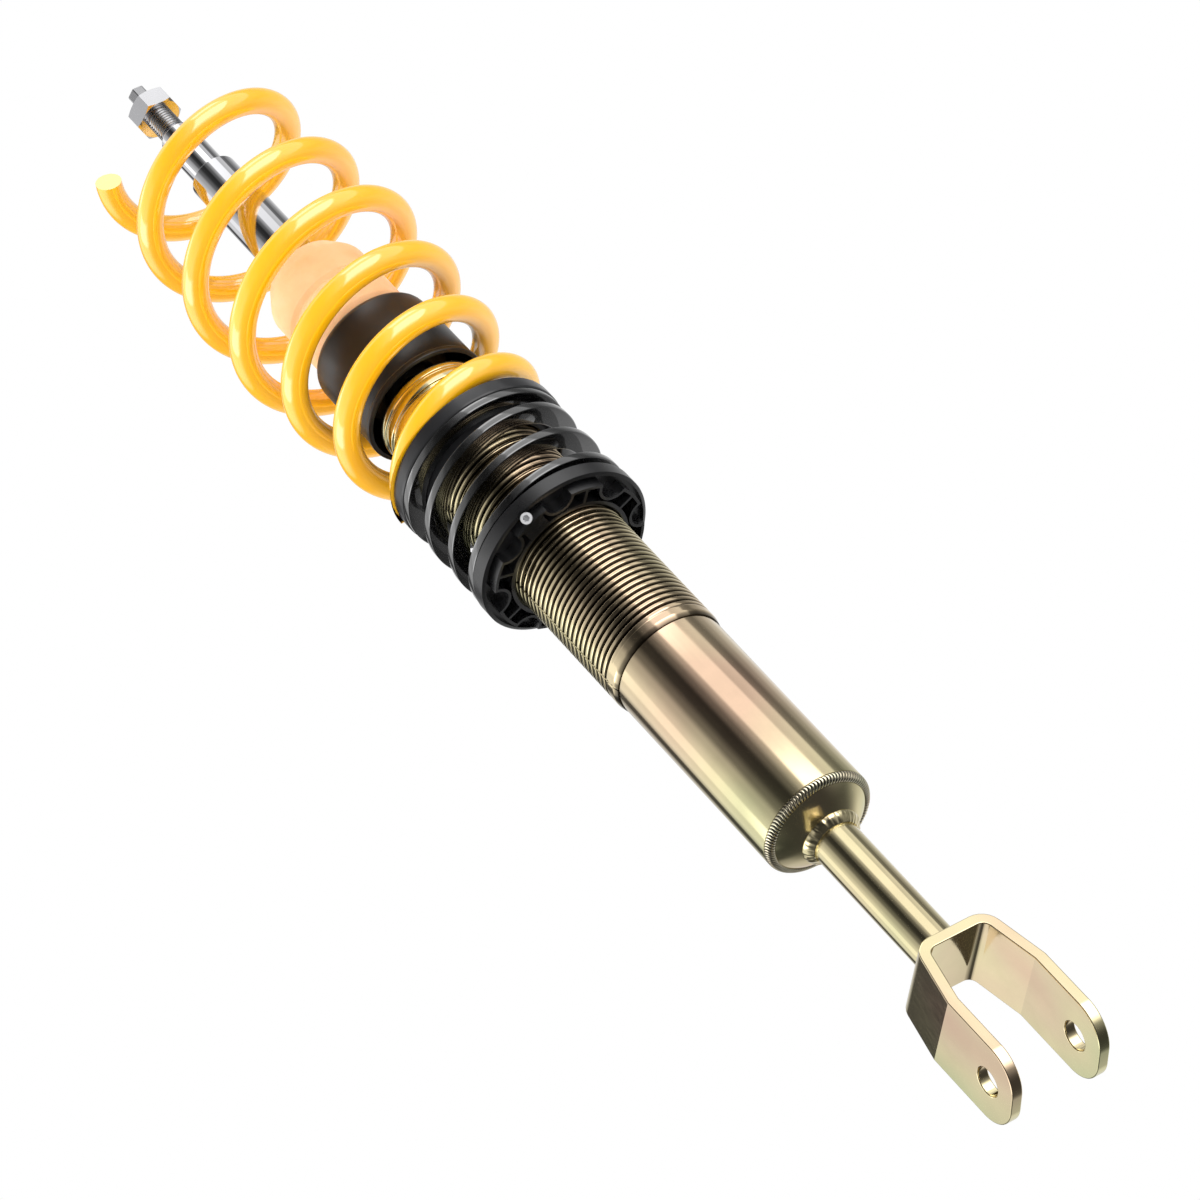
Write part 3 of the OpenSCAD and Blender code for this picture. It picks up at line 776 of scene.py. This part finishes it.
def main_spring():
    """The wire's centre line, with nodes that give it its round section and ground seat."""
    steps = 720
    mesh = bpy.data.meshes.new("barrel_spring")
    mesh.from_pydata([main_spring_centre(HALF_TURNS * i / steps) for i in range(steps + 1)],
                     [(i, i + 1) for i in range(steps)], [])
    piece = add_object("barrel_spring", mesh)
    tree = bpy.data.node_groups.new("wire", "GeometryNodeTree")
    tree.interface.new_socket("Geometry", in_out="INPUT", socket_type="NodeSocketGeometry")
    tree.interface.new_socket("Geometry", in_out="OUTPUT", socket_type="NodeSocketGeometry")

    add = functools.partial(add_node, tree)
    start = add("NodeGroupInput")
    end = add("NodeGroupOutput")
    curve = add("GeometryNodeMeshToCurve")
    circle = add("GeometryNodeCurvePrimitiveCircle")
    circle.inputs["Resolution"].default_value = 40
    circle.inputs["Radius"].default_value = WIRE_R
    sweep = add("GeometryNodeCurveToMesh")
    sweep.inputs["Fill Caps"].default_value = True
    place = add("GeometryNodeInputPosition")
    split = add("ShaderNodeSeparateXYZ")
    floor = add("ShaderNodeMath", operation="MAXIMUM")
    floor.inputs[1].default_value = SEAT_Z * MM + 0.05 * MM
    join = add("ShaderNodeCombineXYZ")
    move = add("GeometryNodeSetPosition")
    paint_node = add("GeometryNodeSetMaterial")
    paint_node.inputs["Material"].default_value = YELLOW
    link = tree.links.new
    link(start.outputs[0], curve.inputs["Mesh"])
    link(curve.outputs["Curve"], sweep.inputs["Curve"])
    link(circle.outputs["Curve"], sweep.inputs["Profile Curve"])
    link(place.outputs[0], split.inputs[0])
    link(split.outputs["X"], join.inputs["X"])
    link(split.outputs["Y"], join.inputs["Y"])
    link(split.outputs["Z"], floor.inputs[0])
    link(floor.outputs[0], join.inputs["Z"])
    link(sweep.outputs["Mesh"], move.inputs["Geometry"])
    link(join.outputs[0], move.inputs["Position"])
    link(move.outputs["Geometry"], paint_node.inputs["Geometry"])
    link(paint_node.outputs["Geometry"], end.inputs[0])
    piece.modifiers.new("wire", "NODES").node_group = tree
    ease = piece.modifiers.new("eased_edges", "BEVEL")
    ease.width = 0.3 * MM
    ease.segments = 2
    ease.limit_method = "ANGLE"
    ease.angle_limit = math.radians(60)
    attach(piece, "perch")
    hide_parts("main_spring")
    paint(piece, YELLOW)
    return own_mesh(piece)


main_spring()

# The helper spring, in millimetres, turns and degrees.
COLLAR_TOP = 324.5
HELPER_TOP = 376.4
HELPER_SPACE = 4
HELPER_RISE = 17.3
HELPER_TURNS = 4.16
HELPER_FIRST = -0.72
HELPER_AZ = 60.4


def helper_level(u):
    """Height in millimetres of the helper's wire centre, u turns up from the collar."""
    lower_side = COLLAR_TOP + HELPER_RISE * (u + 0.03)
    return max(COLLAR_TOP, min(HELPER_TOP - HELPER_SPACE, lower_side)) + HELPER_SPACE / 2


def helper_spring():
    """Flat wire on edge: closed coils at both ends that thin out, and open coils between."""
    steps = 720
    r_out = 39.6
    width = 8.8
    thick = 3.9
    ease = 0.55
    corners = [(r_out - ease, -1, -90), (r_out - ease, 1, 0), (r_out - width + ease, 1, 90),
               (r_out - width + ease, -1, 180)]
    rows = []
    levels = []
    for i in range(steps + 1):
        u = HELPER_FIRST + HELPER_TURNS * i / steps
        a = math.radians(HELPER_AZ + 360 * u)
        z = helper_level(u)
        end = HELPER_TURNS * min(i, steps - i) / steps
        half = 0.5 * thick * min(1, 0.45 + 1.6 * end)
        lift = (0.5 * thick - half) * (-1 if u < 1 else 1)
        levels.append(z)
        row = []
        for r, side, first in corners:
            for k in range(4):
                b = math.radians(first + 30 * k)
                row.append(((r + ease * math.cos(b)), z + lift + side * (half - ease) + ease * math.sin(b)))
        rows.append([(r * MM * math.cos(a), r * MM * math.sin(a), h * MM) for r, h in row])
    piece = grid_object("flat_wire_helper", rows, closed_rows=False, closed_columns=True)
    bm = bmesh.new()
    bm.from_mesh(piece.data)
    bmesh.ops.holes_fill(bm, edges=[e for e in bm.edges if len(e.link_faces) == 1], sides=0)
    bmesh.ops.recalc_face_normals(bm, faces=bm.faces)
    bm.to_mesh(piece.data)
    bm.free()
    shade_by_angle(piece.data, 50)
    paint(piece, GLOSS_BLACK)
    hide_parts("helper_spring")
    low, high = min(levels), max(levels)
    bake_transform(piece, "spring_stack", "perch", (0, 0, low * MM), (0, 0, high * MM))
    # The coils share the travel evenly, and each section of the wire keeps its shape.
    weights = piece.data.attributes["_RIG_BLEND"].data
    for vert in piece.data.vertices:
        turn = (math.degrees(math.atan2(vert.co.y, vert.co.x)) - HELPER_AZ) / 360 % 1
        wire = [helper_level(turn + k) for k in range(-1, 4)]
        nearest = min(wire, key=lambda z: abs(z - vert.co.z / MM))
        height = (nearest - low) / (high - low)
        weights[vert.index].value = min(1.0, max(0.0, height))
    return piece


helper_spring()

turned_piece(
    "spring_adapter",
    [(26.6, 368.4, 0.4), (29.1, 368.4, 0), (30.5, 369.4, 0), (30.5, 376.4, 0), (39.6, 376.4, 0.4),
     (40, 377.2, 0.5), (40, 382.7, 0.6), (39.3, 383.4, 0.4), (29.45, 383.4, 0), (29.45, 387.5, 0.3),
     (28.6, 388.4, 0.3), (26.6, 388.4, 0.3)],
    "perch", SATIN_BLACK, ["adapter_ring"], 224,
)


# ---------------------------------------------------------------- adjuster

paint(eased("adjuster_collar", 0.32 * MM, "collar", 2, 30), COLLAR_PLASTIC)
paint(eased("set_screw", 0.35 * MM, "collar", 3, 30), SCREW)


# ---------------------------------------------------------------- pieces carried over as they are

for carried, material, carried_slot in (
    ("rod_wiper", SEAL_RUBBER, "seal_rubber"),
    ("oil_seal", SEAL_RUBBER, "seal_rubber"),
    ("rod_guide", ALLOY, "alloy"),
    ("guide_bush", BRONZE, "bush_bronze"),
    ("guide_o_ring", SEAL_RUBBER, "seal_rubber"),
    ("gas_piston", ALLOY, "alloy"),
    ("gas_piston_ring", SEAL_RUBBER, "seal_rubber"),
    ("piston_band", PTFE, "band_ptfe"),
    ("piston", ALLOY, "alloy"),
    ("upper_shims", STEEL, "spring_steel"),
    ("lower_shims", STEEL, "spring_steel"),
    ("piston_nut", BRIGHT_NUT, "nut_plate"),
    ("rebound_washer", STEEL, "spring_steel"),
    ("rebound_stop", SEAL_RUBBER, "seal_rubber"),
):
    paint(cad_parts[carried], material)


# ---------------------------------------------------------------- studio

forward = (CAMERA_AIM - CAMERA_AT).normalized()
level = forward.cross(UP).normalized()
right = Matrix.Rotation(CAMERA_ROLL, 3, forward) @ level
up = right.cross(forward)
turn = Matrix((right, up, -forward)).transposed()
camera = bpy.data.objects.new("camera", bpy.data.cameras.new("camera"))
camera.data.lens = CAMERA_LENS
camera.data.sensor_width = 36
camera.data.clip_start = 0.05
camera.data.clip_end = 50
camera.matrix_world = Matrix.Translation(CAMERA_AT) @ turn.to_4x4()
bpy.context.scene.collection.objects.link(camera)
bpy.context.scene.camera = camera
bpy.context.scene.view_settings.view_transform = "Standard"
bpy.context.scene.view_settings.look = "None"


def studio_world():
    """White to the camera. To everything else, a soft tent with flags and strip lights round the strut."""
    world = bpy.data.worlds.new("studio")
    world.use_nodes = True
    world.cycles.sampling_method = "NONE"
    bpy.context.scene.world = world
    tree = world.node_tree
    tree.nodes.clear()

    add = functools.partial(add_node, tree)

    def maths(operation, a, b=0.0):
        node = add("ShaderNodeMath", operation=operation)
        feed(tree, node.inputs[0], a)
        feed(tree, node.inputs[1], b)
        return node.outputs[0]

    def step(value, low, high):
        """0 at the low value, 1 at the high one, and smooth between."""
        node = add("ShaderNodeMapRange", interpolation_type="SMOOTHSTEP")
        node.inputs["From Min"].default_value = low
        node.inputs["From Max"].default_value = high
        tree.links.new(value, node.inputs["Value"])
        return node.outputs[0]

    def blend(factor, a, b):
        node = add("ShaderNodeMix", data_type="FLOAT")
        feed(tree, node.inputs[0], factor)
        feed(tree, node.inputs[2], a)
        feed(tree, node.inputs[3], b)
        return node.outputs[0]

    def round_levels(stops, brightest):
        """Light round the strut, as (degrees from the camera's bearing, level) pairs."""
        node = add_ramp(tree, bearing, [((angle + 180) / 360, level / brightest) for angle, level in stops])
        node.color_ramp.interpolation = "EASE"
        return maths("MULTIPLY", node.outputs["Color"], brightest)

    direction = add("ShaderNodeTexCoord").outputs["Generated"]
    swing = add("ShaderNodeVectorRotate", rotation_type="Z_AXIS")
    swing.inputs["Angle"].default_value = -VIEW_BEARING
    tree.links.new(direction, swing.inputs["Vector"])
    parts = add("ShaderNodeSeparateXYZ")
    tree.links.new(swing.outputs[0], parts.inputs[0])
    bearing = maths("ARCTAN2", parts.outputs["Y"], parts.outputs["X"])
    bearing = maths("MULTIPLY_ADD", bearing, 0.5 / math.pi)
    bearing.node.inputs[2].default_value = 0.5

    sides = round_levels([
        (-180, 0.78), (-160, 0.60), (-150, 0.35), (-143, 0.07), (-131, 0.07), (-126, 0.60),
        (-117, 0.90), (-101, 0.85), (-97, 1.15), (-80, 1.15), (-75, 0.80), (-50, 0.50), (-34, 0.16),
        (-16, 0.04), (-4, 0.03),
        (8, 0.14), (24, 0.50), (29, 1.15), (63, 1.15), (67, 0.70), (88, 0.80), (92, 0.22), (106, 0.16),
        (122, 0.34), (140, 0.55), (160, 0.80), (180, 0.78),
    ], 2.0)
    strips = round_levels([
        (-180, 0.0), (-101, 0.0), (-97, 1.2), (-80, 1.2), (-75, 0.0), (24, 0.0), (29, 1.3),
        (63, 1.3), (67, 0.0), (180, 0.0),
    ], 1.5)
    below = round_levels([
        (-180, 0.10), (-130, 0.05), (-90, 0.20), (-60, 0.12), (-30, 0.04), (0, 0.03), (30, 0.10), (60, 0.34),
        (90, 0.36), (130, 0.10), (180, 0.10),
    ], 2.0)
    height = parts.outputs["Z"]
    # The upright walls mirror one height of the tent, where the strip lights are dimmer.
    wall_mirror = 0.555
    off_walls = step(maths("ABSOLUTE", maths("SUBTRACT", height, wall_mirror)), 0.10, 0.20)
    sides = maths("ADD", sides, maths("MULTIPLY", strips, off_walls))
    lower = step(height, -0.25, -0.70)
    tent = blend(
        lower,
        blend(step(height, 0.80, 0.97), sides, 0.7),
        blend(step(height, -0.60, -0.92), below, 0.05),
    )
    path = add("ShaderNodeLightPath")
    soft = blend(lower, 1.45, 0.85)
    seen = blend(path.outputs["Is Diffuse Ray"], tent, soft)
    seen = blend(path.outputs["Is Camera Ray"], seen, 1.0)
    back = add("ShaderNodeBackground")
    back.inputs["Color"].default_value = (1, 1, 1, 1)
    tree.links.new(seen, back.inputs["Strength"])
    tree.links.new(back.outputs[0], add("ShaderNodeOutputWorld").inputs["Surface"])


studio_world()


def soft_light(name, bearing, elevation, strength, angle):
    """A broad, distant light that lifts the matt surfaces and leaves the reflections alone."""
    light = bpy.data.lights.new(name, "SUN")
    light.energy = strength
    light.angle = math.radians(angle)
    lamp = bpy.data.objects.new(name, light)
    a = VIEW_BEARING + math.radians(bearing)
    e = math.radians(elevation)
    where = Vector((math.cos(e) * math.cos(a), math.cos(e) * math.sin(a), math.sin(e)))
    lamp.rotation_euler = where.to_track_quat("Z", "Y").to_euler()
    lamp.visible_glossy = False
    bpy.context.scene.collection.objects.link(lamp)


soft_light("key", -85, 25, 1.2, 60)
soft_light("fill", 60, 40, 0.6, 90)


FLOOR_Z = -0.0154


def studio_floor():
    """A pale floor just under the ears. It shows from above only, because the camera looks up from below."""
    bm = bmesh.new()
    bmesh.ops.create_circle(bm, cap_ends=True, radius=9, segments=96)
    bmesh.ops.translate(bm, verts=bm.verts, vec=(0, 0, FLOOR_Z))
    mesh = bpy.data.meshes.new("floor")
    bm.to_mesh(mesh)
    bm.free()
    floor = add_object("floor", mesh)
    material = bpy.data.materials.new("floor")
    material.use_nodes = True
    tree = material.node_tree
    shader = tree.nodes["Principled BSDF"]
    shader.inputs["Base Color"].default_value = (0.86, 0.86, 0.85, 1)
    shader.inputs["Roughness"].default_value = 0.9
    clear = tree.nodes.new("ShaderNodeBsdfTransparent")
    side = tree.nodes.new("ShaderNodeNewGeometry")
    pick = tree.nodes.new("ShaderNodeMixShader")
    tree.links.new(side.outputs["Backfacing"], pick.inputs[0])
    tree.links.new(shader.outputs[0], pick.inputs[1])
    tree.links.new(clear.outputs[0], pick.inputs[2])
    tree.links.new(pick.outputs[0], tree.nodes["Material Output"].inputs["Surface"])
    floor.data.materials.append(material)
    floor.visible_glossy = False


studio_floor()


bpy.context.view_layer.update()
